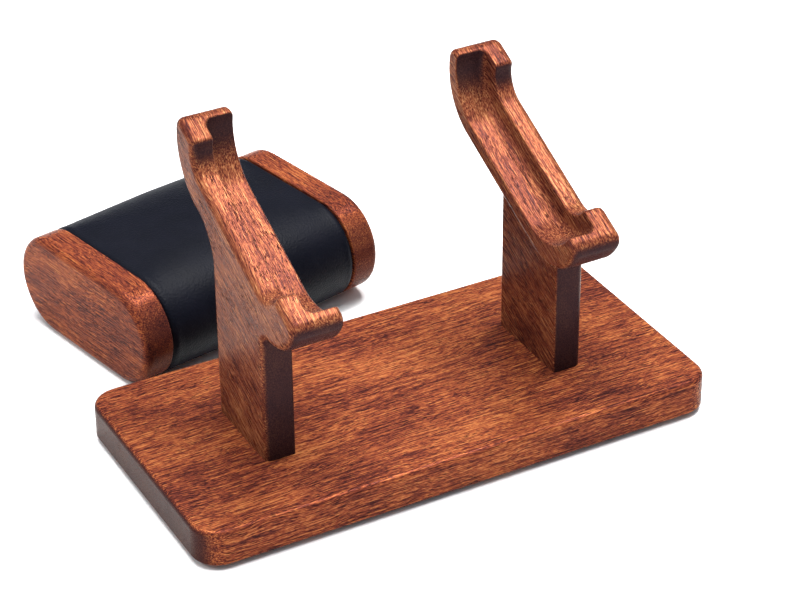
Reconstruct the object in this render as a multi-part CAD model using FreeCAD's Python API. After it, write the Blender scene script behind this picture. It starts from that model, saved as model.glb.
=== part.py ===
import FreeCAD, Part
import math
import os

# Watch stand: a board on a rubber sheet carries two uprights, each ending in a tilted cradle.
# A leather roll with a wooden cap at each end drops into the two cradles. Here it lies off the
# stand, on the table behind it. The frame: origin on the table under the board's centre,
# +X along the board to the right, +Y to the back, +Z up. All sizes are in millimetres.

# Board
BASE_LENGTH = 180.0
BASE_DEPTH = 88.0
BASE_THICKNESS = 12.0
BASE_CORNER_R = 9.0
BASE_TOP_EDGE_R = 1.8
BASE_BOTTOM_EDGE_R = 0.8

# Rubber sheet under the board, set in from its edge
SHEET_THICKNESS = 1.5
SHEET_INSET = 2.5
SHEET_EDGE_R = 0.3

# Gap round a screw or dowel in its hole
HOLE_GAP = 0.05

# Cushion: a roll of obround section between two caps
CAP_LENGTH = 73.4
CAP_HEIGHT = 35.0
CAP_THICKNESS = 10.6
CAP_OUTER_EDGE_R = 2.8
CAP_INNER_EDGE_R = 0.6
CUSHION_LENGTH = 97.6
COVER_INSET = 0.4
COVER_THICKNESS = 1.2
PADDING_THICKNESS = 6.0
DOWEL_R = 3.0
DOWEL_LENGTH = 20.0
DOWEL_IN_CAP = 7.0
DOWEL_SPACING = 30.0
DOWEL_END_CHAMFER = 0.6
DOWEL_HOLE_EXTRA = 0.3

# Where the cushion lies on the table
CUSHION_X = -25.9
CUSHION_Y = 95.2
CUSHION_YAW = 12.0

# Uprights: a post whose outer face runs on into a wider cradle
STAND_WIDTH = 112.6
POST_THICKNESS = 10.2
POST_DEPTH = 34.0
POST_CENTRE_Y = -0.8
POST_EDGE_R = 0.9
CRADLE_WIDTH = 17.4
CRADLE_TILT = 25.5
SEAT_CENTRE_Y = -1.8
SEAT_CENTRE_Z = 92.4
END_CLEARANCE = 0.3
FLOOR_THICKNESS = 5.9
HOOK_TOP_DROP = 2.5
POCKET_CORNER_R = 2.7
SCOOP_DROP = 10.9
BACK_FILLET_R = 15.0
FRONT_FILLET_R = 4.0
FRONT_HOOK_EDGE_R = 3.6
BACK_HOOK_EDGE_R = 3.8
SCOOP_EDGE_R = 1.6
OUTER_EDGE_R = 2.5
INNER_EDGE_R = 1.9
POCKET_RIM_R = 0.6

# Ends of the cradle's hollows and of its outside: how far each reaches from the centre of the
# seated cap, and the radius of its quarter-round
CRADLE_FRONT = (43.5, 18.0)
CRADLE_BACK = (42.5, 21.5)
POCKET_FRONT = (38.1, 18.2)
POCKET_BACK = (37.6, 18.2)
SCOOP_END = (29.4, 8.5)

# Wood screws, up through the board into each post
SCREW_R = 1.7
SCREW_LENGTH = 32.0
SCREW_TIP_LENGTH = 4.0
SCREW_HEAD_R = 3.5
SCREW_SPACING = 17.0
SCREW_TIP_R = 0.3
PILOT_EXTRA_DEPTH = 1.0
SCREW_CLEARANCE = 0.2
CROSS_LENGTH = 3.8
CROSS_WIDTH = 0.8
CROSS_DEPTH = 1.1

# Places worked out from the sizes above
BASE_TOP = SHEET_THICKNESS + BASE_THICKNESS
OUTER_FACE_X = STAND_WIDTH / 2
POST_INNER_X = OUTER_FACE_X - POST_THICKNESS
CRADLE_INNER_X = OUTER_FACE_X - CRADLE_WIDTH
POCKET_WALL_X = CUSHION_LENGTH / 2 + END_CLEARANCE
POST_X = OUTER_FACE_X - POST_THICKNESS / 2
SEAT_FLOOR = -CAP_HEIGHT / 2
ABOVE_CRADLE = 30.0
SMALL = 0.01
NEAR = 0.5

X_AXIS = FreeCAD.Vector(1, 0, 0)
Z_AXIS = FreeCAD.Vector(0, 0, 1)
ORIGIN = FreeCAD.Vector(0, 0, 0)


def seat_point(along, out):
    """The point of the YZ plane this far along the cradle's slope and out from it.

    Both are measured from the centre of the seated cap.
    """
    tilt = math.radians(CRADLE_TILT)
    y = SEAT_CENTRE_Y + along * math.cos(tilt) - out * math.sin(tilt)
    z = SEAT_CENTRE_Z + along * math.sin(tilt) + out * math.cos(tilt)
    return FreeCAD.Vector(0, y, z)


def slope_coordinates(point):
    """The reverse of seat_point: along the slope, and out from it."""
    tilt = math.radians(CRADLE_TILT)
    dy = point.y - SEAT_CENTRE_Y
    dz = point.z - SEAT_CENTRE_Z
    along = dy * math.cos(tilt) + dz * math.sin(tilt)
    out = dz * math.cos(tilt) - dy * math.sin(tilt)
    return along, out


def tray_end(side, end, bottom, top):
    """One end of a tray outline: where it leaves the floor, its edges, and where it meets the top."""
    reach, radius = end
    centre = reach - radius
    level = bottom + radius
    last = math.asin(min(top - level, 0.0) / radius)

    def on_arc(angle):
        along = side * (centre + radius * math.cos(angle))
        return seat_point(along, level + radius * math.sin(angle))

    start = seat_point(side * centre, bottom)
    finish = on_arc(last)
    edges = [Part.Arc(start, on_arc((last - math.pi / 2) / 2), finish).toShape()]
    if top > level:
        corner = seat_point(side * reach, top)
        edges.append(Part.LineSegment(finish, corner).toShape())
        finish = corner
    return start, edges, finish


def tray_profile(front, back, bottom, top):
    """A flat-bottomed tray outline with quarter-round ends, closed by a straight line at the top."""
    front_floor, front_edges, front_top = tray_end(-1, front, bottom, top)
    back_floor, back_edges, back_top = tray_end(1, back, bottom, top)
    floor = Part.LineSegment(front_floor, back_floor).toShape()
    lid = Part.LineSegment(back_top, front_top).toShape()
    edges = Part.sortEdges(front_edges + back_edges + [floor, lid])[0]
    return Part.Face(Part.Wire(edges))


def along_x(face, x_start, x_end):
    """A face of the YZ plane, drawn out between two X positions."""
    solid = face.extrude(X_AXIS * (x_end - x_start))
    solid.translate(X_AXIS * x_start)
    return solid


def rounded(solid, radius, wanted):
    """The solid with the edges that the test picks rounded."""
    edges = [edge for edge in solid.Edges if wanted(edge)]
    return solid.makeFillet(radius, edges)


def runs_along_x(edge):
    """Whether an edge is a straight one along X."""
    ends = [vertex.Point for vertex in edge.Vertexes]
    if len(ends) != 2:
        return False
    step = ends[1] - ends[0]
    return abs(step.y) < SMALL and abs(step.z) < SMALL


def in_plane_x(edge, x):
    """Whether an edge lies in the plane at that X."""
    box = edge.BoundBox
    return abs(box.XMin - x) < SMALL and abs(box.XMax - x) < SMALL


def cradle_block(x_start):
    """The solid cradle before its pocket is cut, from one X position to the outer face."""
    bottom = SEAT_FLOOR - FLOOR_THICKNESS
    outline = tray_profile(CRADLE_FRONT, CRADLE_BACK, bottom, -HOOK_TOP_DROP)
    return along_x(outline, x_start, OUTER_FACE_X)


def post_block():
    """The post, up to the cradle's underside."""
    height = SEAT_CENTRE_Z - BASE_TOP
    corner = FreeCAD.Vector(POST_INNER_X, POST_CENTRE_Y - POST_DEPTH / 2, BASE_TOP)
    post = Part.makeBox(POST_THICKNESS, POST_DEPTH, height, corner)
    bottom = SEAT_FLOOR - FLOOR_THICKNESS
    outline = tray_profile(CRADLE_FRONT, CRADLE_BACK, bottom, ABOVE_CRADLE)
    return post.cut(along_x(outline, 0.0, 2 * OUTER_FACE_X))


def in_pocket(edge):
    """Whether an edge lies along the pocket's outline."""
    along, out = slope_coordinates(edge.CenterOfMass)
    return -POCKET_FRONT[0] - SMALL < along < POCKET_BACK[0] + SMALL and out > SEAT_FLOOR - SMALL


def pocket_cut():
    """The pocket that takes the lower half of a cap, open towards the middle of the stand."""
    outline = tray_profile(POCKET_FRONT, POCKET_BACK, SEAT_FLOOR, ABOVE_CRADLE)
    pocket = along_x(outline, 0.0, POCKET_WALL_X)

    def at_the_wall(edge):
        return in_plane_x(edge, POCKET_WALL_X) and slope_coordinates(edge.CenterOfMass)[1] < 0

    return rounded(pocket, POCKET_CORNER_R, at_the_wall)


def scoop_cut():
    """The finger scoop through the top of the outer wall."""
    outline = tray_profile(SCOOP_END, SCOOP_END, -SCOOP_DROP, ABOVE_CRADLE)
    return along_x(outline, 0.0, 2 * OUTER_FACE_X)


def pilot_holes():
    """Holes in the post for its two screws."""
    depth = SCREW_LENGTH - BASE_THICKNESS + PILOT_EXTRA_DEPTH
    radius = SCREW_R + HOLE_GAP
    holes = []
    for x, y in screw_places():
        if x > 0:
            holes.append(Part.makeCylinder(radius, depth, FreeCAD.Vector(x, y, BASE_TOP), Z_AXIS))
    return holes


def right_upright():
    """Post and cradle in one piece of wood."""
    plate = cradle_block(POST_INNER_X).fuse(post_block()).removeSplitter()

    def at_post_face(side):
        face_y = POST_CENTRE_Y + side * POST_DEPTH / 2

        def wanted(edge):
            at_face = abs(edge.CenterOfMass.y - face_y) < SMALL
            return runs_along_x(edge) and at_face and edge.CenterOfMass.z > BASE_TOP + SMALL
        return wanted

    plate = rounded(plate, BACK_FILLET_R, at_post_face(1))
    plate = rounded(plate, FRONT_FILLET_R, at_post_face(-1))

    def post_inner_corner(edge):
        box = edge.BoundBox
        upright = box.ZLength > POST_DEPTH and box.YLength < SMALL
        return in_plane_x(edge, POST_INNER_X) and upright

    plate = rounded(plate, POST_EDGE_R, post_inner_corner)
    solid = plate.fuse(cradle_block(CRADLE_INNER_X)).removeSplitter()
    solid = solid.cut(scoop_cut()).cut(pocket_cut())

    def top_corner(*places):
        def wanted(edge):
            along, out = slope_coordinates(edge.CenterOfMass)
            at_place = any(abs(along - place) < NEAR for place in places)
            return runs_along_x(edge) and at_place and abs(out + HOOK_TOP_DROP) < SMALL
        return wanted

    solid = rounded(solid, FRONT_HOOK_EDGE_R, top_corner(-CRADLE_FRONT[0]))
    solid = rounded(solid, BACK_HOOK_EDGE_R, top_corner(CRADLE_BACK[0]))
    solid = rounded(solid, SCOOP_EDGE_R, top_corner(-SCOOP_END[0], SCOOP_END[0]))

    def outer_outline(edge):
        return in_plane_x(edge, OUTER_FACE_X) and edge.CenterOfMass.z > BASE_TOP + SMALL

    solid = rounded(solid, OUTER_EDGE_R, outer_outline)

    def inner_outline(edge):
        return in_plane_x(edge, CRADLE_INNER_X) and not in_pocket(edge)

    solid = rounded(solid, INNER_EDGE_R, inner_outline)

    def pocket_mouth(edge):
        above_scoop = slope_coordinates(edge.CenterOfMass)[1] > -SCOOP_DROP - SMALL
        at_rim = in_plane_x(edge, CRADLE_INNER_X) and in_pocket(edge)
        return at_rim or in_plane_x(edge, POCKET_WALL_X) and above_scoop

    solid = rounded(solid, POCKET_RIM_R, pocket_mouth)
    return solid.cut(Part.makeCompound(pilot_holes()))


def screw_places():
    """X and Y of the four screws."""
    places = []
    for x in (-POST_X, POST_X):
        for y in (-SCREW_SPACING / 2, SCREW_SPACING / 2):
            places.append((x, POST_CENTRE_Y + y))
    return places


def screw(x, y):
    """A countersunk wood screw, head down, with a cross recess."""
    head_height = SCREW_HEAD_R - SCREW_R
    tip_start = SCREW_LENGTH - SCREW_TIP_LENGTH
    head = Part.makeCone(SCREW_HEAD_R, SCREW_R, head_height)
    shank = Part.makeCylinder(SCREW_R, tip_start - head_height, Z_AXIS * head_height)
    tip = Part.makeCone(SCREW_R, SCREW_TIP_R, SCREW_TIP_LENGTH, Z_AXIS * tip_start)
    solid = head.fuse([shank, tip]).removeSplitter()
    for length, width in ((CROSS_LENGTH, CROSS_WIDTH), (CROSS_WIDTH, CROSS_LENGTH)):
        corner = FreeCAD.Vector(-length / 2, -width / 2, 0)
        solid = solid.cut(Part.makeBox(length, width, CROSS_DEPTH, corner))
    solid.translate(FreeCAD.Vector(x, y, SHEET_THICKNESS))
    return solid


def screw_hole(x, y):
    """Clearance hole with a countersink that fits the head."""
    radius = SCREW_R + SCREW_CLEARANCE
    head_r = SCREW_HEAD_R + SCREW_CLEARANCE
    hole = Part.makeCylinder(radius, BASE_THICKNESS)
    countersink = Part.makeCone(head_r, radius, head_r - radius)
    hole = hole.fuse(countersink)
    hole.translate(FreeCAD.Vector(x, y, SHEET_THICKNESS))
    return hole


def base_board():
    """The board: rounded corners, eased edges and the screw holes."""
    corner = FreeCAD.Vector(-BASE_LENGTH / 2, -BASE_DEPTH / 2, SHEET_THICKNESS)
    board = Part.makeBox(BASE_LENGTH, BASE_DEPTH, BASE_THICKNESS, corner)

    def upright_edge(edge):
        return edge.BoundBox.ZLength > BASE_THICKNESS / 2

    def at_height(height):
        def wanted(edge):
            return edge.BoundBox.ZLength < SMALL and abs(edge.CenterOfMass.z - height) < SMALL
        return wanted

    board = rounded(board, BASE_CORNER_R, upright_edge)
    board = rounded(board, BASE_TOP_EDGE_R, at_height(BASE_TOP))
    board = rounded(board, BASE_BOTTOM_EDGE_R, at_height(SHEET_THICKNESS))
    return board.cut([screw_hole(x, y) for x, y in screw_places()])


def base_sheet():
    """The rubber sheet under the board."""
    length = BASE_LENGTH - 2 * SHEET_INSET
    depth = BASE_DEPTH - 2 * SHEET_INSET
    corner = FreeCAD.Vector(-length / 2, -depth / 2, 0)
    sheet = Part.makeBox(length, depth, SHEET_THICKNESS, corner)

    def upright_edge(edge):
        return edge.BoundBox.ZLength > SHEET_THICKNESS / 2

    def bottom_edge(edge):
        return edge.BoundBox.ZMax < SMALL

    sheet = rounded(sheet, BASE_CORNER_R - SHEET_INSET, upright_edge)
    return rounded(sheet, SHEET_EDGE_R, bottom_edge)


def obround(length, height, x_start, x_end):
    """A bar of obround section along X, centred on the X axis."""
    radius = height / 2
    reach = length / 2 - radius
    signs = ((-1, -1), (1, -1), (1, 1), (-1, 1))
    corners = [FreeCAD.Vector(0, y * reach, z * radius) for y, z in signs]
    bottom = Part.LineSegment(corners[0], corners[1]).toShape()
    back = Part.Arc(corners[1], FreeCAD.Vector(0, length / 2, 0), corners[2]).toShape()
    top = Part.LineSegment(corners[2], corners[3]).toShape()
    front = Part.Arc(corners[3], FreeCAD.Vector(0, -length / 2, 0), corners[0]).toShape()
    return along_x(Part.Face(Part.Wire([bottom, back, top, front])), x_start, x_end)


def dowel_places():
    """Side and Y of the four dowels, in the cushion's own frame."""
    return [(side, y) for side in (-1, 1) for y in (-DOWEL_SPACING / 2, DOWEL_SPACING / 2)]


def dowel_bar(side, y, radius, extra=0.0):
    """A bar on a dowel's axis, from inside the cap into the core."""
    cap_inner = CUSHION_LENGTH / 2 - CAP_THICKNESS
    start = cap_inner + DOWEL_IN_CAP + extra
    length = DOWEL_LENGTH + 2 * extra
    return Part.makeCylinder(radius, length, FreeCAD.Vector(side * start, y, 0), X_AXIS * -side)


def dowel(side, y):
    """A wooden dowel with chamfered ends."""
    bar = dowel_bar(side, y, DOWEL_R)

    def end_rim(edge):
        return edge.BoundBox.XLength < SMALL

    return bar.makeChamfer(DOWEL_END_CHAMFER, [edge for edge in bar.Edges if end_rim(edge)])


def dowel_holes(side):
    """Holes for the dowels at one end of the cushion."""
    places = [place for place in dowel_places() if place[0] == side]
    return [dowel_bar(side, y, DOWEL_R + HOLE_GAP, DOWEL_HOLE_EXTRA) for side, y in places]


def end_cap(side):
    """A wooden cap with a well-rounded outer edge."""
    outer = side * CUSHION_LENGTH / 2
    inner = side * (CUSHION_LENGTH / 2 - CAP_THICKNESS)
    cap = obround(CAP_LENGTH, CAP_HEIGHT, inner, outer)
    cap = rounded(cap, CAP_OUTER_EDGE_R, lambda edge: in_plane_x(edge, outer))
    cap = rounded(cap, CAP_INNER_EDGE_R, lambda edge: in_plane_x(edge, inner))
    return cap.cut(dowel_holes(side))


def cushion_layer(outer_inset, inner_inset=None):
    """The roll between the caps, at one depth under their outline, hollow if asked."""
    end = CUSHION_LENGTH / 2 - CAP_THICKNESS
    layer = obround(CAP_LENGTH - 2 * outer_inset, CAP_HEIGHT - 2 * outer_inset, -end, end)
    if inner_inset is None:
        return layer
    inside = obround(CAP_LENGTH - 2 * inner_inset, CAP_HEIGHT - 2 * inner_inset, -end, end)
    return layer.cut(inside)


def cushion_pieces():
    """Every piece of the cushion by name, in its own frame."""
    under_cover = COVER_INSET + COVER_THICKNESS
    under_padding = under_cover + PADDING_THICKNESS
    core = cushion_layer(under_padding)
    core = core.cut(dowel_holes(-1) + dowel_holes(1))
    pieces = {
        "cushion_core": core,
        "cushion_padding": cushion_layer(under_cover, under_padding),
        "leather_cover": cushion_layer(COVER_INSET, under_cover),
        "left_end_cap": end_cap(-1),
        "right_end_cap": end_cap(1),
    }
    for number, (side, y) in enumerate(dowel_places(), 1):
        pieces[f"cap_dowel_{number}"] = dowel(side, y)
    return pieces


def laid_on_table(solid):
    """The cushion's frame moved to where it lies behind the stand."""
    solid.rotate(ORIGIN, Z_AXIS, CUSHION_YAW)
    solid.translate(FreeCAD.Vector(CUSHION_X, CUSHION_Y, CAP_HEIGHT / 2))
    return solid


def stand_pieces():
    """Every piece of the stand by name."""
    upright = right_upright()
    pieces = {
        "base_board": base_board(),
        "base_sheet": base_sheet(),
        "left_upright": upright.mirror(ORIGIN, X_AXIS),
        "right_upright": upright,
    }
    for number, (x, y) in enumerate(screw_places(), 1):
        pieces[f"upright_screw_{number}"] = screw(x, y)
    return pieces


def main():
    os.makedirs("parts", exist_ok=True)
    pieces = stand_pieces()
    for name, solid in cushion_pieces().items():
        pieces[name] = laid_on_table(solid)
    for name, shape in pieces.items():
        if not shape.isValid() or len(shape.Solids) != 1:
            raise ValueError(f"{name} is not one valid solid")
        shape.exportStep(f"parts/{name}.step")
        box = shape.BoundBox
        print(f"{name}: {shape.Volume:.0f} mm3, x {box.XMin:.1f} {box.XMax:.1f}"
              f" y {box.YMin:.1f} {box.YMax:.1f} z {box.ZMin:.1f} {box.ZMax:.1f}")


main()
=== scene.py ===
import math

import bpy
import numpy as np
from mathutils import Matrix, Vector


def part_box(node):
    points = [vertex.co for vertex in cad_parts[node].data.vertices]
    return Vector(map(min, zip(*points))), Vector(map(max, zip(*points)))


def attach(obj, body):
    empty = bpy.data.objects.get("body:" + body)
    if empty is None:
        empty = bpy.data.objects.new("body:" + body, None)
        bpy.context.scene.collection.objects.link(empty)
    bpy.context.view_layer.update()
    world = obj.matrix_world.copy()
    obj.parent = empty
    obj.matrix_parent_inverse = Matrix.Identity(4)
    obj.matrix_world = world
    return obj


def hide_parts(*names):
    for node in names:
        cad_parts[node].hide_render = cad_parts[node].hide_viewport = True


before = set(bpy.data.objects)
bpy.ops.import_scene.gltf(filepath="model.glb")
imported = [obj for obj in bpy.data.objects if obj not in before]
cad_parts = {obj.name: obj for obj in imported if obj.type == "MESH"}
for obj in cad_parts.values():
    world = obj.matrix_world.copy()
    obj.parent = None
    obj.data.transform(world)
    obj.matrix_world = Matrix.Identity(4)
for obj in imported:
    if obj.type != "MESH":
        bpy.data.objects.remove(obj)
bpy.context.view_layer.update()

# A wooden watch stand with a leather cushion lying behind it. Metres, in the CAD's frame.
MM = 0.001

# Camera
CAMERA_PLACE = (-0.32924, -0.61070, 0.47110)
CAMERA_AZIMUTH = 28.392
CAMERA_ELEVATION = 31.485
CAMERA_ROLL = -0.461
CAMERA_LENS_MM = 118.36
CAMERA_SENSOR_MM = 36.0
CAMERA_SHIFT = (-0.0070, -0.0009)
FLOOR_HEIGHT = -0.0001

# Wood: the grain of an upright runs along its cradle
CRADLE_TILT = math.radians(25.5)
SHEEN_OF_WOOD = (1.0, 1.0, 0.9, 1.0)
# Each set of tones runs from the darkest wood to the lightest, then pores, then end grain
RED_TONES = (
    (0.030, 0.009, 0.009),
    (0.088, 0.020, 0.014),
    (0.172, 0.039, 0.019),
    (0.268, 0.070, 0.025),
    (0.385, 0.134, 0.044),
    (0.015, 0.005, 0.006),
    (0.026, 0.010, 0.011),
)
# The uprights' wood, a piece of its own; its light and lightest tones are also yellowed as a painted
# sheen, standing in for the glossy shine their sloped tops catch from above
UPRIGHT_TONES_WITH_PAINTED_SHEEN = (
    (0.030, 0.009, 0.009),
    (0.088, 0.021, 0.014),
    (0.165, 0.044, 0.023),
    (0.260, 0.086, 0.036),
    (0.385, 0.168, 0.072),
    (0.015, 0.005, 0.006),
    (0.025, 0.013, 0.016),
)
PALE_TONES = (
    (0.25, 0.15, 0.08),
    (0.36, 0.23, 0.12),
    (0.46, 0.31, 0.17),
    (0.55, 0.39, 0.22),
    (0.62, 0.46, 0.28),
    (0.16, 0.09, 0.05),
    (0.30, 0.19, 0.10),
)

# Streaks of the wood, finest last: size in mm along, across and through the grain, the noise's
# detail and roughness, and how far it swings the tone
STREAKS = (
    ((30.0, 11.0, 20.0), 2.0, 0.5, 0.75),
    ((18.0, 0.9, 0.9), 2.0, 0.6, 0.40),
    ((26.0, 0.42, 0.42), 1.0, 0.5, 0.95),
    ((7.0, 0.34, 0.34), 1.0, 0.6, 1.30),
    ((1.5, 0.27, 0.27), 1.0, 0.5, 1.00),
)
TONE_MIDDLE = 0.49
GROWTH_SWING = 0.45
PORE_STRENGTH = 0.88
# End grain starts to show where a face turns this far towards the grain, and shows fully here
END_GRAIN_FACING = (0.45, 0.88)

# Leather roll between the caps
ROLL_HALF_LENGTH = 38.2 * MM
SECTION_HALF_LENGTH = 36.3 * MM
SECTION_RADIUS = 17.1 * MM
SHOULDER_RADIUS = 1.9 * MM
SHOULDER_DROP = 2.0 * MM
CROWN = 2.0 * MM
BULGE = 1.1 * MM
AROUND = 120
ALONG = 42
HELD_RINGS = 8
END_RINGS_MM = (0.0, 0.15, 0.35, 0.65, 1.05, 1.55, 2.1, 2.8)
FIRST_MIDDLE_RING = 3.8 * MM
FOLD_SHARE_ON_FLATS = 0.70
BEAD_HEIGHT = 0.20 * MM
BEAD_FROM_CAP = 2.2 * MM
BEAD_WIDTH = 0.9 * MM
CAP_HALF_HEIGHT = 17.5 * MM
TABLE_GAP = 0.5 * MM
UNDERSIDE = TABLE_GAP - CAP_HALF_HEIGHT
UNDERSIDE_SOFTNESS = 0.3 * MM
SEAM_REACH = -12 * MM
SEAM_DEPTH = 0.5 * MM
SEAM_WIDTH = 0.8 * MM

# Stitches along the seam
STITCH_LENGTH = 2.6 * MM
STITCH_PITCH = 3.6 * MM
STITCH_FROM_SEAM = 2.0 * MM
STITCH_FROM_CAPS = 4.0 * MM
STITCH_RISE = 0.22 * MM
THREAD_RADIUS = 0.2 * MM


# ---------------------------------------------------------------- node helpers

def new_material(name):
    """A material with an empty tree but for the shader and the output."""
    material = bpy.data.materials.new(name)
    material.use_nodes = True
    tree = material.node_tree
    tree.nodes.clear()
    shader = tree.nodes.new("ShaderNodeBsdfPrincipled")
    output = tree.nodes.new("ShaderNodeOutputMaterial")
    tree.links.new(shader.outputs["BSDF"], output.inputs["Surface"])
    return material, tree, shader


def put(tree, socket, value):
    """Link a socket into another, or set its value."""
    if isinstance(value, bpy.types.NodeSocket):
        tree.links.new(value, socket)
    else:
        socket.default_value = value


def calc(tree, operation, first, second=0.0, clamp=False):
    node = tree.nodes.new("ShaderNodeMath")
    node.operation = operation
    node.use_clamp = clamp
    put(tree, node.inputs[0], first)
    put(tree, node.inputs[1], second)
    return node.outputs[0]


def vector_calc(tree, operation, first, second):
    node = tree.nodes.new("ShaderNodeVectorMath")
    node.operation = operation
    put(tree, node.inputs[0], first)
    put(tree, node.inputs[1], second)
    return node.outputs["Value" if operation in ("DOT_PRODUCT", "LENGTH") else "Vector"]


def combine(tree, x, y, z):
    node = tree.nodes.new("ShaderNodeCombineXYZ")
    for socket, value in zip(node.inputs, (x, y, z)):
        put(tree, socket, value)
    return node.outputs[0]


def noise(tree, vector, detail=2.0, roughness=0.5, distortion=0.0):
    node = tree.nodes.new("ShaderNodeTexNoise")
    node.inputs["Scale"].default_value = 1.0
    node.inputs["Detail"].default_value = detail
    node.inputs["Roughness"].default_value = roughness
    node.inputs["Distortion"].default_value = distortion
    put(tree, node.inputs["Vector"], vector)
    return node.outputs[0]


def voronoi(tree, vector, feature="F1", randomness=1.0):
    node = tree.nodes.new("ShaderNodeTexVoronoi")
    node.feature = feature
    node.inputs["Scale"].default_value = 1.0
    node.inputs["Randomness"].default_value = randomness
    put(tree, node.inputs["Vector"], vector)
    return node.outputs["Distance"]


def between(tree, value, low, high, out_low=0.0, out_high=1.0, smooth=True):
    """Map a range of values to another, held at its ends."""
    node = tree.nodes.new("ShaderNodeMapRange")
    node.interpolation_type = "SMOOTHSTEP" if smooth else "LINEAR"
    put(tree, node.inputs["Value"], value)
    node.inputs["From Min"].default_value = low
    node.inputs["From Max"].default_value = high
    node.inputs["To Min"].default_value = out_low
    node.inputs["To Max"].default_value = out_high
    return node.outputs["Result"]


def centred(tree, value, gain, middle=0.0):
    """A noise's swing about its middle, scaled, and moved to another middle."""
    node = tree.nodes.new("ShaderNodeMath")
    node.operation = "MULTIPLY_ADD"
    put(tree, node.inputs[0], value)
    node.inputs[1].default_value = gain
    node.inputs[2].default_value = middle - 0.5 * gain
    return node.outputs[0]


def blend_colour(tree, factor, first, second, mode="MIX"):
    node = tree.nodes.new("ShaderNodeMix")
    node.data_type = "RGBA"
    node.blend_type = mode
    put(tree, node.inputs["Factor"], factor)
    put(tree, node.inputs[6], first)
    put(tree, node.inputs[7], second)
    return node.outputs[2]


def ramp(tree, value, stops):
    node = tree.nodes.new("ShaderNodeValToRGB")
    elements = node.color_ramp.elements
    while len(elements) < len(stops):
        elements.new(0.5)
    for element, (place, colour) in zip(elements, stops):
        element.position = place
        element.color = (*colour, 1.0)
    put(tree, node.inputs[0], value)
    return node.outputs[0]


def bump(tree, height, distance, strength=1.0):
    node = tree.nodes.new("ShaderNodeBump")
    node.inputs["Strength"].default_value = strength
    node.inputs["Distance"].default_value = distance
    put(tree, node.inputs["Height"], height)
    return node.outputs[0]


# ---------------------------------------------------------------- materials

def own_space(tree, axes, shift):
    """Millimetres along three axes of the piece's own, so that a pattern can follow them."""
    place = tree.nodes.new("ShaderNodeTexCoord").outputs["Object"]
    parts = []
    for axis, offset in zip(axes, shift):
        along = vector_calc(tree, "DOT_PRODUCT", place, tuple(axis))
        parts.append(calc(tree, "MULTIPLY_ADD", along, 1000.0))
        parts[-1].node.inputs[2].default_value = offset
    return combine(tree, *parts)


def stretched(tree, space, length, width, depth=None):
    """The space divided by a pattern's size along, across and through the grain."""
    sizes = (1 / length, 1 / width, 1 / (depth or width))
    return vector_calc(tree, "MULTIPLY", space, sizes)


def wood_material(
    name, axes, shift, tones, heart, gloss=0.28, pore_share=1.0, soak=0.90, contrast=1.0
):
    """Oiled open-pored hardwood.

    The first axis is the grain's, and heart is where the tree's middle lay.

    Every length is in millimetres. End grain soaks up more oil, so it is darker.
    """
    material, tree, shader = new_material(name)
    space = own_space(tree, axes, shift)
    wander = centred(tree, noise(tree, stretched(tree, space, 45.0, 18.0), 2.0), 6.0)
    ripple = centred(tree, noise(tree, stretched(tree, space, 9.0, 4.0), 1.0), 0.7)
    sway = calc(tree, "ADD", wander, ripple)
    bent = vector_calc(tree, "ADD", space, combine(tree, 0.0, sway, sway))

    split = tree.nodes.new("ShaderNodeSeparateXYZ")
    put(tree, split.inputs[0], bent)
    across = calc(tree, "SUBTRACT", split.outputs[1], heart[0])
    through = calc(tree, "SUBTRACT", split.outputs[2], heart[1])
    ring = vector_calc(tree, "LENGTH", combine(tree, 0.0, across, through), (0, 0, 0))
    years = calc(tree, "DIVIDE", ring, 4.5)
    layers = combine(tree, calc(tree, "DIVIDE", split.outputs[0], 90.0), years, 0.0)
    growth = noise(tree, layers, 3.0, 0.6)

    streaks = [noise(tree, stretched(tree, bent, *size), *look) for size, *look, _ in STREAKS]
    line, fibre = streaks[2], streaks[3]

    cells = voronoi(tree, stretched(tree, bent, 2.8, 0.38))
    bed = noise(tree, stretched(tree, bent, 12.0, 3.0), 2.0, 0.6)
    reach = between(tree, bed, 0.30, 0.70, 0.10 * pore_share, 0.40 * pore_share)
    pores = between(tree, calc(tree, "DIVIDE", cells, reach), 0.55, 1.05, 1.0, 0.0)

    tone = centred(tree, growth, GROWTH_SWING)
    for streak, (_, _, _, swing) in zip(streaks, STREAKS):
        tone = calc(tree, "ADD", tone, centred(tree, streak, swing))
    tone = calc(tree, "MULTIPLY_ADD", tone, contrast)
    tone.node.inputs[2].default_value = TONE_MIDDLE
    darkest, dark, middle, light, lightest, pore, end_grain = tones
    stops = ((0.12, darkest), (0.34, dark), (0.52, middle), (0.70, light), (0.90, lightest))
    colour = ramp(tree, tone, stops)
    colour = blend_colour(tree, calc(tree, "MULTIPLY", pores, PORE_STRENGTH), colour, (*pore, 1.0))
    facing = tree.nodes.new("ShaderNodeTexCoord").outputs["Normal"]
    facing = calc(tree, "ABSOLUTE", vector_calc(tree, "DOT_PRODUCT", facing, tuple(axes[0])))
    soaked = between(tree, facing, *END_GRAIN_FACING, 0.0, soak)
    colour = blend_colour(tree, soaked, colour, (*end_grain, 1.0))
    put(tree, shader.inputs["Base Color"], colour)

    dull = calc(tree, "MULTIPLY", pores, 0.25)
    rough = calc(tree, "ADD", centred(tree, fibre, 0.22, gloss), dull, clamp=True)
    put(tree, shader.inputs["Roughness"], rough)
    ridges = calc(tree, "MULTIPLY", calc(tree, "ADD", fibre, line), 0.40)
    relief = between(tree, facing, *END_GRAIN_FACING, 1.0, 0.25)
    height = calc(tree, "MULTIPLY", calc(tree, "SUBTRACT", ridges, pores), relief)
    put(tree, shader.inputs["Normal"], bump(tree, height, 0.12 * MM, 0.7))
    shader.inputs["IOR"].default_value = 1.45
    shader.inputs["Specular IOR Level"].default_value = 0.02
    shader.inputs["Specular Tint"].default_value = SHEEN_OF_WOOD
    shader.inputs["Metallic"].default_value = 0.14
    return material


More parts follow.
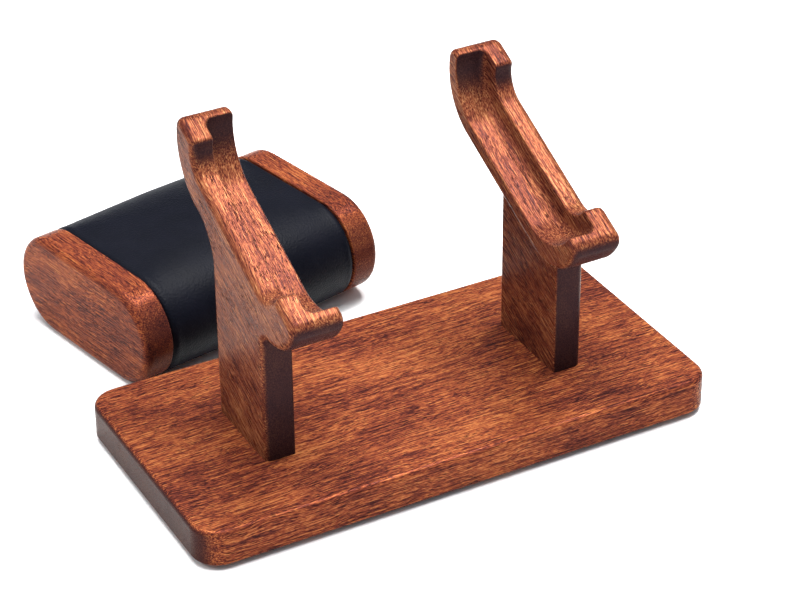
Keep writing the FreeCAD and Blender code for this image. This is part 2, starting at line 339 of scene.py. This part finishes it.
def leather_material(name):
    """Smooth black full-grain leather with a fine pebble and broad patches of tone and roughness."""
    material, tree, shader = new_material(name)
    space = own_space(tree, ((1, 0, 0), (0, 1, 0), (0, 0, 1)), (0, 0, 0))
    pebble = voronoi(tree, stretched(tree, space, 0.70, 0.70), "F1")
    fine = noise(tree, stretched(tree, space, 0.35, 0.35), 2.0, 0.6)
    patches = noise(tree, stretched(tree, space, 16.0, 16.0), 3.0, 0.6)
    stops = ((0.3, (0.0010, 0.0014, 0.0040)), (0.7, (0.0022, 0.0026, 0.0064)))
    put(tree, shader.inputs["Base Color"], ramp(tree, patches, stops))
    rough = calc(tree, "MULTIPLY_ADD", patches, 0.14)
    rough.node.inputs[2].default_value = 0.38
    put(tree, shader.inputs["Roughness"], calc(tree, "ADD", rough, calc(tree, "MULTIPLY", fine, 0.08)))
    height = calc(tree, "ADD", calc(tree, "MULTIPLY", pebble, 0.7), calc(tree, "MULTIPLY", fine, 0.5))
    put(tree, shader.inputs["Normal"], bump(tree, height, 0.16 * MM, 0.85))
    shader.inputs["IOR"].default_value = 1.45
    shader.inputs["Specular IOR Level"].default_value = 0.10
    return material


def rubber_material(name):
    material, tree, shader = new_material(name)
    space = own_space(tree, ((1, 0, 0), (0, 1, 0), (0, 0, 1)), (0, 0, 0))
    grit = noise(tree, stretched(tree, space, 0.35, 0.35), 3.0, 0.6)
    colour = ramp(tree, grit, ((0.3, (0.012, 0.012, 0.013)), (0.75, (0.03, 0.03, 0.032))))
    put(tree, shader.inputs["Base Color"], colour)
    put(tree, shader.inputs["Roughness"], between(tree, grit, 0.3, 0.8, 0.75, 0.92))
    put(tree, shader.inputs["Normal"], bump(tree, grit, 0.05 * MM, 0.6))
    return material


def steel_material(name):
    material, tree, shader = new_material(name)
    space = own_space(tree, ((0, 0, 1), (1, 0, 0), (0, 1, 0)), (0, 0, 0))
    turned = noise(tree, stretched(tree, space, 0.12, 3.0), 3.0, 0.6)
    colour = ramp(tree, turned, ((0.3, (0.36, 0.36, 0.37)), (0.7, (0.55, 0.55, 0.56))))
    put(tree, shader.inputs["Base Color"], colour)
    put(tree, shader.inputs["Roughness"], between(tree, turned, 0.3, 0.7, 0.28, 0.42))
    put(tree, shader.inputs["Normal"], bump(tree, turned, 0.02 * MM, 0.5))
    shader.inputs["Metallic"].default_value = 1.0
    return material


def thread_material(name):
    material, tree, shader = new_material(name)
    space = own_space(tree, ((1, 0, 0), (0, 1, 0), (0, 0, 1)), (0, 0, 0))
    twist = noise(tree, stretched(tree, space, 0.15, 0.5), 2.0, 0.6)
    colour = ramp(tree, twist, ((0.3, (0.01, 0.01, 0.011)), (0.7, (0.03, 0.03, 0.033))))
    put(tree, shader.inputs["Base Color"], colour)
    put(tree, shader.inputs["Roughness"], between(tree, twist, 0.3, 0.7, 0.55, 0.75))
    put(tree, shader.inputs["Normal"], bump(tree, twist, 0.05 * MM, 0.6))
    return material


def floor_material(name):
    material, tree, shader = new_material(name)
    shader.inputs["Base Color"].default_value = (0.93, 0.93, 0.93, 1.0)
    shader.inputs["Roughness"].default_value = 0.9
    shader.inputs["Specular IOR Level"].default_value = 0.1
    return material


def clothe(node, material):
    """Give a CAD node one material all over."""
    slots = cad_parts[node].data.materials
    slots.clear()
    slots.append(material)


# ---------------------------------------------------------------- the cushion's own frame

def box_centre(node):
    low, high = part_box(node)
    return (low + high) / 2


def cushion_frame():
    """Axes and centre of the cushion, from its four dowels: two lie along its length at each side."""
    ends = [box_centre(f"cap_dowel_{number}") for number in (1, 2, 3, 4)]
    centre = sum(ends, Vector()) / 4
    along = (ends[2] - ends[0]).normalized()
    up = Vector((0, 0, 1))
    return Matrix.Translation(centre) @ Matrix((along, up.cross(along), up)).transposed().to_4x4()


# ---------------------------------------------------------------- leather roll

def section(count, half_length, radius):
    """Points round an obround, and their outward directions, from the middle of its underside."""
    flat = 2 * (half_length - radius)
    turn = math.pi * radius
    total = 2 * flat + 2 * turn
    reach = flat / 2
    points, outward = [], []
    for step in range(count):
        s = step / count * total
        if s < reach:
            spot, way = (s, -radius), (0.0, -1.0)
        elif s < reach + turn:
            angle = -math.pi / 2 + (s - reach) / radius
            way = (math.cos(angle), math.sin(angle))
            spot = (reach + radius * way[0], radius * way[1])
        elif s < reach + turn + flat:
            spot, way = (reach - (s - reach - turn), radius), (0.0, 1.0)
        elif s < reach + 2 * turn + flat:
            angle = math.pi / 2 + (s - reach - turn - flat) / radius
            way = (math.cos(angle), math.sin(angle))
            spot = (-reach + radius * way[0], radius * way[1])
        else:
            spot, way = (s - total, -radius), (0.0, -1.0)
        points.append(spot)
        outward.append(way)
    return np.array(points), np.array(outward)


def shoulder(distance):
    """How far the leather has dropped at a distance from the cap."""
    share = max(0.0, 1.0 - distance / SHOULDER_RADIUS)
    return SHOULDER_DROP * (1.0 - math.sqrt(1.0 - share * share))


def roll_rings():
    """Rings of the roll before it is filled out, closer together at the shoulders."""
    points, outward = section(AROUND, SECTION_HALF_LENGTH, SECTION_RADIUS)
    ends = [step * MM for step in END_RINGS_MM]
    middle = np.linspace(FIRST_MIDDLE_RING, 2 * ROLL_HALF_LENGTH - FIRST_MIDDLE_RING, ALONG)
    places = ends + list(middle) + [2 * ROLL_HALF_LENGTH - step for step in reversed(ends)]
    rings = []
    for place in places:
        distance = min(place, 2 * ROLL_HALF_LENGTH - place)
        share = FOLD_SHARE_ON_FLATS + (1 - FOLD_SHARE_ON_FLATS) * np.abs(outward[:, :1])
        spots = points - outward * share * shoulder(distance)
        x = np.full((AROUND, 1), place - ROLL_HALF_LENGTH)
        rings.append(np.hstack([x, spots]))
    return np.array(rings)


def roll_faces(ring_count):
    faces = []
    for ring in range(ring_count - 1):
        for spot in range(AROUND):
            following = (spot + 1) % AROUND
            low, high = ring * AROUND, (ring + 1) * AROUND
            faces.append((low + spot, low + following, high + following, high + spot))
    faces.append(tuple(reversed(range(AROUND))))
    last = (ring_count - 1) * AROUND
    faces.append(tuple(range(last, last + AROUND)))
    return faces


def swollen(rings, faces):
    """Where the points go when the roll is blown up from inside with both ends held."""
    scale = 10.0
    flat = rings.reshape(-1, 3)
    mesh = bpy.data.meshes.new("roll_trial")
    mesh.from_pydata((flat * scale).tolist(), [], faces)
    trial = bpy.data.objects.new("roll_trial", mesh)
    bpy.context.scene.collection.objects.link(trial)
    held = trial.vertex_groups.new(name="held")
    ring_count = len(rings)
    for ring in (*range(HELD_RINGS), *range(ring_count - HELD_RINGS, ring_count)):
        held.add(list(range(ring * AROUND, (ring + 1) * AROUND)), 1.0, "ADD")
    cloth = trial.modifiers.new("cloth", "CLOTH")
    settings = cloth.settings
    settings.quality = 6
    settings.mass = 0.3
    settings.tension_stiffness = 25
    settings.compression_stiffness = 25
    settings.shear_stiffness = 10
    settings.bending_stiffness = 3
    settings.use_pressure = True
    settings.uniform_pressure_force = 4
    settings.vertex_group_mass = "held"
    settings.effector_weights.gravity = 0
    cloth.point_cache.frame_start = 1
    cloth.point_cache.frame_end = 20
    for step in range(1, 21):
        bpy.context.scene.frame_set(step)
    evaluated = trial.evaluated_get(bpy.context.evaluated_depsgraph_get())
    moved = np.empty(len(flat) * 3)
    evaluated.data.vertices.foreach_get("co", moved)
    bpy.data.objects.remove(trial)
    bpy.data.meshes.remove(mesh)
    bpy.context.scene.frame_set(1)
    return moved.reshape(-1, 3) / scale - flat


def filled_roll():
    """The finished points and faces of the leather, in the cushion's own frame."""
    rings = roll_rings()
    faces = roll_faces(len(rings))
    push = swollen(rings, faces)
    push *= CROWN / np.linalg.norm(push, axis=1).max()
    flat = rings.reshape(-1, 3) + push
    points, outward = section(AROUND, SECTION_HALF_LENGTH, SECTION_RADIUS)
    way = np.tile(outward, (len(rings), 1))
    distance = ROLL_HALF_LENGTH - np.abs(flat[:, 0])
    bead = BEAD_HEIGHT * np.exp(-((distance - BEAD_FROM_CAP) / BEAD_WIDTH) ** 2)
    fullness = BULGE * np.sqrt(np.clip(distance / ROLL_HALF_LENGTH, 0.0, 1.0))
    flat[:, 1:] += way * (bead + fullness)[:, None]
    above = (flat[:, 2] - UNDERSIDE) / UNDERSIDE_SOFTNESS
    flat[:, 2] = UNDERSIDE + UNDERSIDE_SOFTNESS * np.logaddexp(0.0, above)
    under = flat[:, 2] < SEAM_REACH
    groove = SEAM_DEPTH * np.exp(-(flat[:, 1] / SEAM_WIDTH) ** 2)
    flat[under, 2] += groove[under]
    return flat, faces


def mesh_object(name, points, faces, material, smooth=True):
    mesh = bpy.data.meshes.new(name)
    mesh.from_pydata([tuple(point) for point in points], [], faces)
    mesh.materials.append(material)
    mesh.polygons.foreach_set("use_smooth", [smooth] * len(mesh.polygons))
    mesh.update()
    made = bpy.data.objects.new(name, mesh)
    bpy.context.scene.collection.objects.link(made)
    return made


def leather_roll(place, material):
    points, faces = filled_roll()
    roll = mesh_object("leather_roll", points, faces, material)
    roll.data.transform(place)
    smoothing = roll.modifiers.new("smoothing", "SUBSURF")
    smoothing.levels = 1
    smoothing.render_levels = 1
    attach(roll, "cushion")
    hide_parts("leather_cover", "cushion_padding")
    return roll


# ---------------------------------------------------------------- seam stitches

def stitch(points, faces, start, end, radius, segments=8, steps=7):
    """Add one stitch: a short thread that rises out of the leather and goes back in."""
    first = len(points)
    run = end - start
    for step in range(steps):
        share = step / (steps - 1)
        rise = math.sin(math.pi * share)
        middle = start + run * share + Vector((0, 0, -radius * 0.8 * rise))
        size = radius * (0.45 + 0.55 * math.sqrt(rise))
        for segment in range(segments):
            angle = 2 * math.pi * segment / segments
            points.append(middle + Vector((0, size * math.cos(angle), size * math.sin(angle))))
    for step in range(steps - 1):
        for segment in range(segments):
            following = (segment + 1) % segments
            low, high = first + step * segments, first + (step + 1) * segments
            faces.append((low + segment, low + following, high + following, high + segment))
    faces.append(tuple(first + segment for segment in reversed(range(segments))))
    last = first + (steps - 1) * segments
    faces.append(tuple(last + segment for segment in range(segments)))


def seam_stitches(place, material):
    """Two rows of stitches, one each side of the seam under the roll."""
    points, faces = [], []
    count = int(2 * (ROLL_HALF_LENGTH - STITCH_FROM_CAPS) / STITCH_PITCH)
    first = -count * STITCH_PITCH / 2
    for side in (-1, 1):
        for number in range(count):
            x = first + number * STITCH_PITCH
            start = Vector((x, side * STITCH_FROM_SEAM, UNDERSIDE + STITCH_RISE))
            stitch(points, faces, start, start + Vector((STITCH_LENGTH, 0, 0)), THREAD_RADIUS)
    row = mesh_object("seam_stitches", points, faces, material)
    row.data.transform(place)
    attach(row, "cushion")
    return row


# ---------------------------------------------------------------- stage

def camera():
    azimuth, elevation = math.radians(CAMERA_AZIMUTH), math.radians(CAMERA_ELEVATION)
    ahead = Vector((
        math.sin(azimuth) * math.cos(elevation),
        math.cos(azimuth) * math.cos(elevation),
        -math.sin(elevation),
    ))
    data = bpy.data.cameras.new("camera")
    data.lens = CAMERA_LENS_MM
    data.sensor_width = CAMERA_SENSOR_MM
    data.shift_x, data.shift_y = CAMERA_SHIFT
    data.clip_start, data.clip_end = 0.01, 20.0
    made = bpy.data.objects.new("camera", data)
    bpy.context.scene.collection.objects.link(made)
    roll = Matrix.Rotation(math.radians(CAMERA_ROLL), 3, "Z").to_quaternion()
    turn = ahead.to_track_quat("-Z", "Y") @ roll
    made.rotation_mode = "QUATERNION"
    made.rotation_quaternion = turn
    made.location = CAMERA_PLACE
    bpy.context.scene.camera = made


def softbox(name, place, aim, size, power, colour=(1.0, 1.0, 1.0)):
    data = bpy.data.lights.new(name, "AREA")
    data.shape = "RECTANGLE"
    data.size, data.size_y = size
    data.energy = power
    data.color = colour
    made = bpy.data.objects.new(name, data)
    bpy.context.scene.collection.objects.link(made)
    made.location = place
    made.rotation_mode = "QUATERNION"
    made.rotation_quaternion = (Vector(aim) - Vector(place)).to_track_quat("-Z", "Y")


def floor():
    reach = 4.0
    corners = ((-1, -1), (1, -1), (1, 1), (-1, 1))
    points = [(x * reach, y * reach, FLOOR_HEIGHT) for x, y in corners]
    mesh_object("floor", points, [(0, 1, 2, 3)], floor_material("floor"), smooth=False)


def studio():
    scene = bpy.context.scene
    world = bpy.data.worlds.new("studio")
    world.use_nodes = True
    background = world.node_tree.nodes["Background"]
    background.inputs["Color"].default_value = (0.88, 0.93, 1.0, 1.0)
    background.inputs["Strength"].default_value = 0.38
    scene.world = world
    scene.view_settings.view_transform = "Standard"
    target = (0.0, 0.02, 0.05)
    softbox("top_light", (0.04, 0.08, 1.34), target, (1.10, 0.80), 40.0)
    softbox("slope_light", (0.58, 0.12, 1.30), target, (0.22, 0.22), 10.5)
    softbox("left_light", (-0.95, 0.24, 0.85), target, (0.6, 0.10), 4.0)
    softbox("front_light", (0.70, -0.52, 0.95), target, (0.25, 0.25), 0.7)
    floor()
    camera()


# ---------------------------------------------------------------- build

def slope_axes():
    """Along the cradle, straight across it, and out from it."""
    along = (0.0, math.cos(CRADLE_TILT), math.sin(CRADLE_TILT))
    out = (0.0, -math.sin(CRADLE_TILT), math.cos(CRADLE_TILT))
    return along, (1.0, 0.0, 0.0), out


def dress_cad_nodes(place):
    board_axes = ((1.0, 0.0, 0.0), (0.0, 1.0, 0.0), (0.0, 0.0, 1.0))
    clothe("base_board", wood_material("board_wood", board_axes, (0, 0, 0), RED_TONES, (25.0, -160.0)))
    for side, shift in (("left", (0, 40, 15)), ("right", (300, -30, 60))):
        tones, heart = UPRIGHT_TONES_WITH_PAINTED_SHEEN, (-90.0, 60.0)
        wood = wood_material(f"{side}_upright_wood", slope_axes(), shift, tones, heart, contrast=0.80)
        clothe(f"{side}_upright", wood)
    along, across, up = (place.to_3x3().col[index] for index in (0, 1, 2))
    cap_axes = (across, up, along)
    for side, shift in (("left", (0, 0, 0)), ("right", (120, 55, 0))):
        tones, heart = RED_TONES, (-120.0, 30.0)
        wood = wood_material(
            f"{side}_cap_wood", cap_axes, shift, tones, heart, soak=0.50, contrast=0.75
        )
        clothe(f"{side}_end_cap", wood)
    bare = {"gloss": 0.62, "pore_share": 0.6}
    own_axes = (along, across, up)
    core = wood_material("core_wood", own_axes, (0, 0, 0), PALE_TONES, (0.0, -60.0), **bare)
    clothe("cushion_core", core)
    dowel = wood_material("dowel_wood", own_axes, (50, 9, 4), PALE_TONES, (0.0, -20.0), **bare)
    for number in (1, 2, 3, 4):
        clothe(f"cap_dowel_{number}", dowel)
    steel = steel_material("screw_steel")
    for number in (1, 2, 3, 4):
        clothe(f"upright_screw_{number}", steel)
    clothe("base_sheet", rubber_material("sheet_rubber"))


place = cushion_frame()
studio()
dress_cad_nodes(place)
leather_roll(place, leather_material("cover_leather"))
seam_stitches(place, thread_material("seam_thread"))
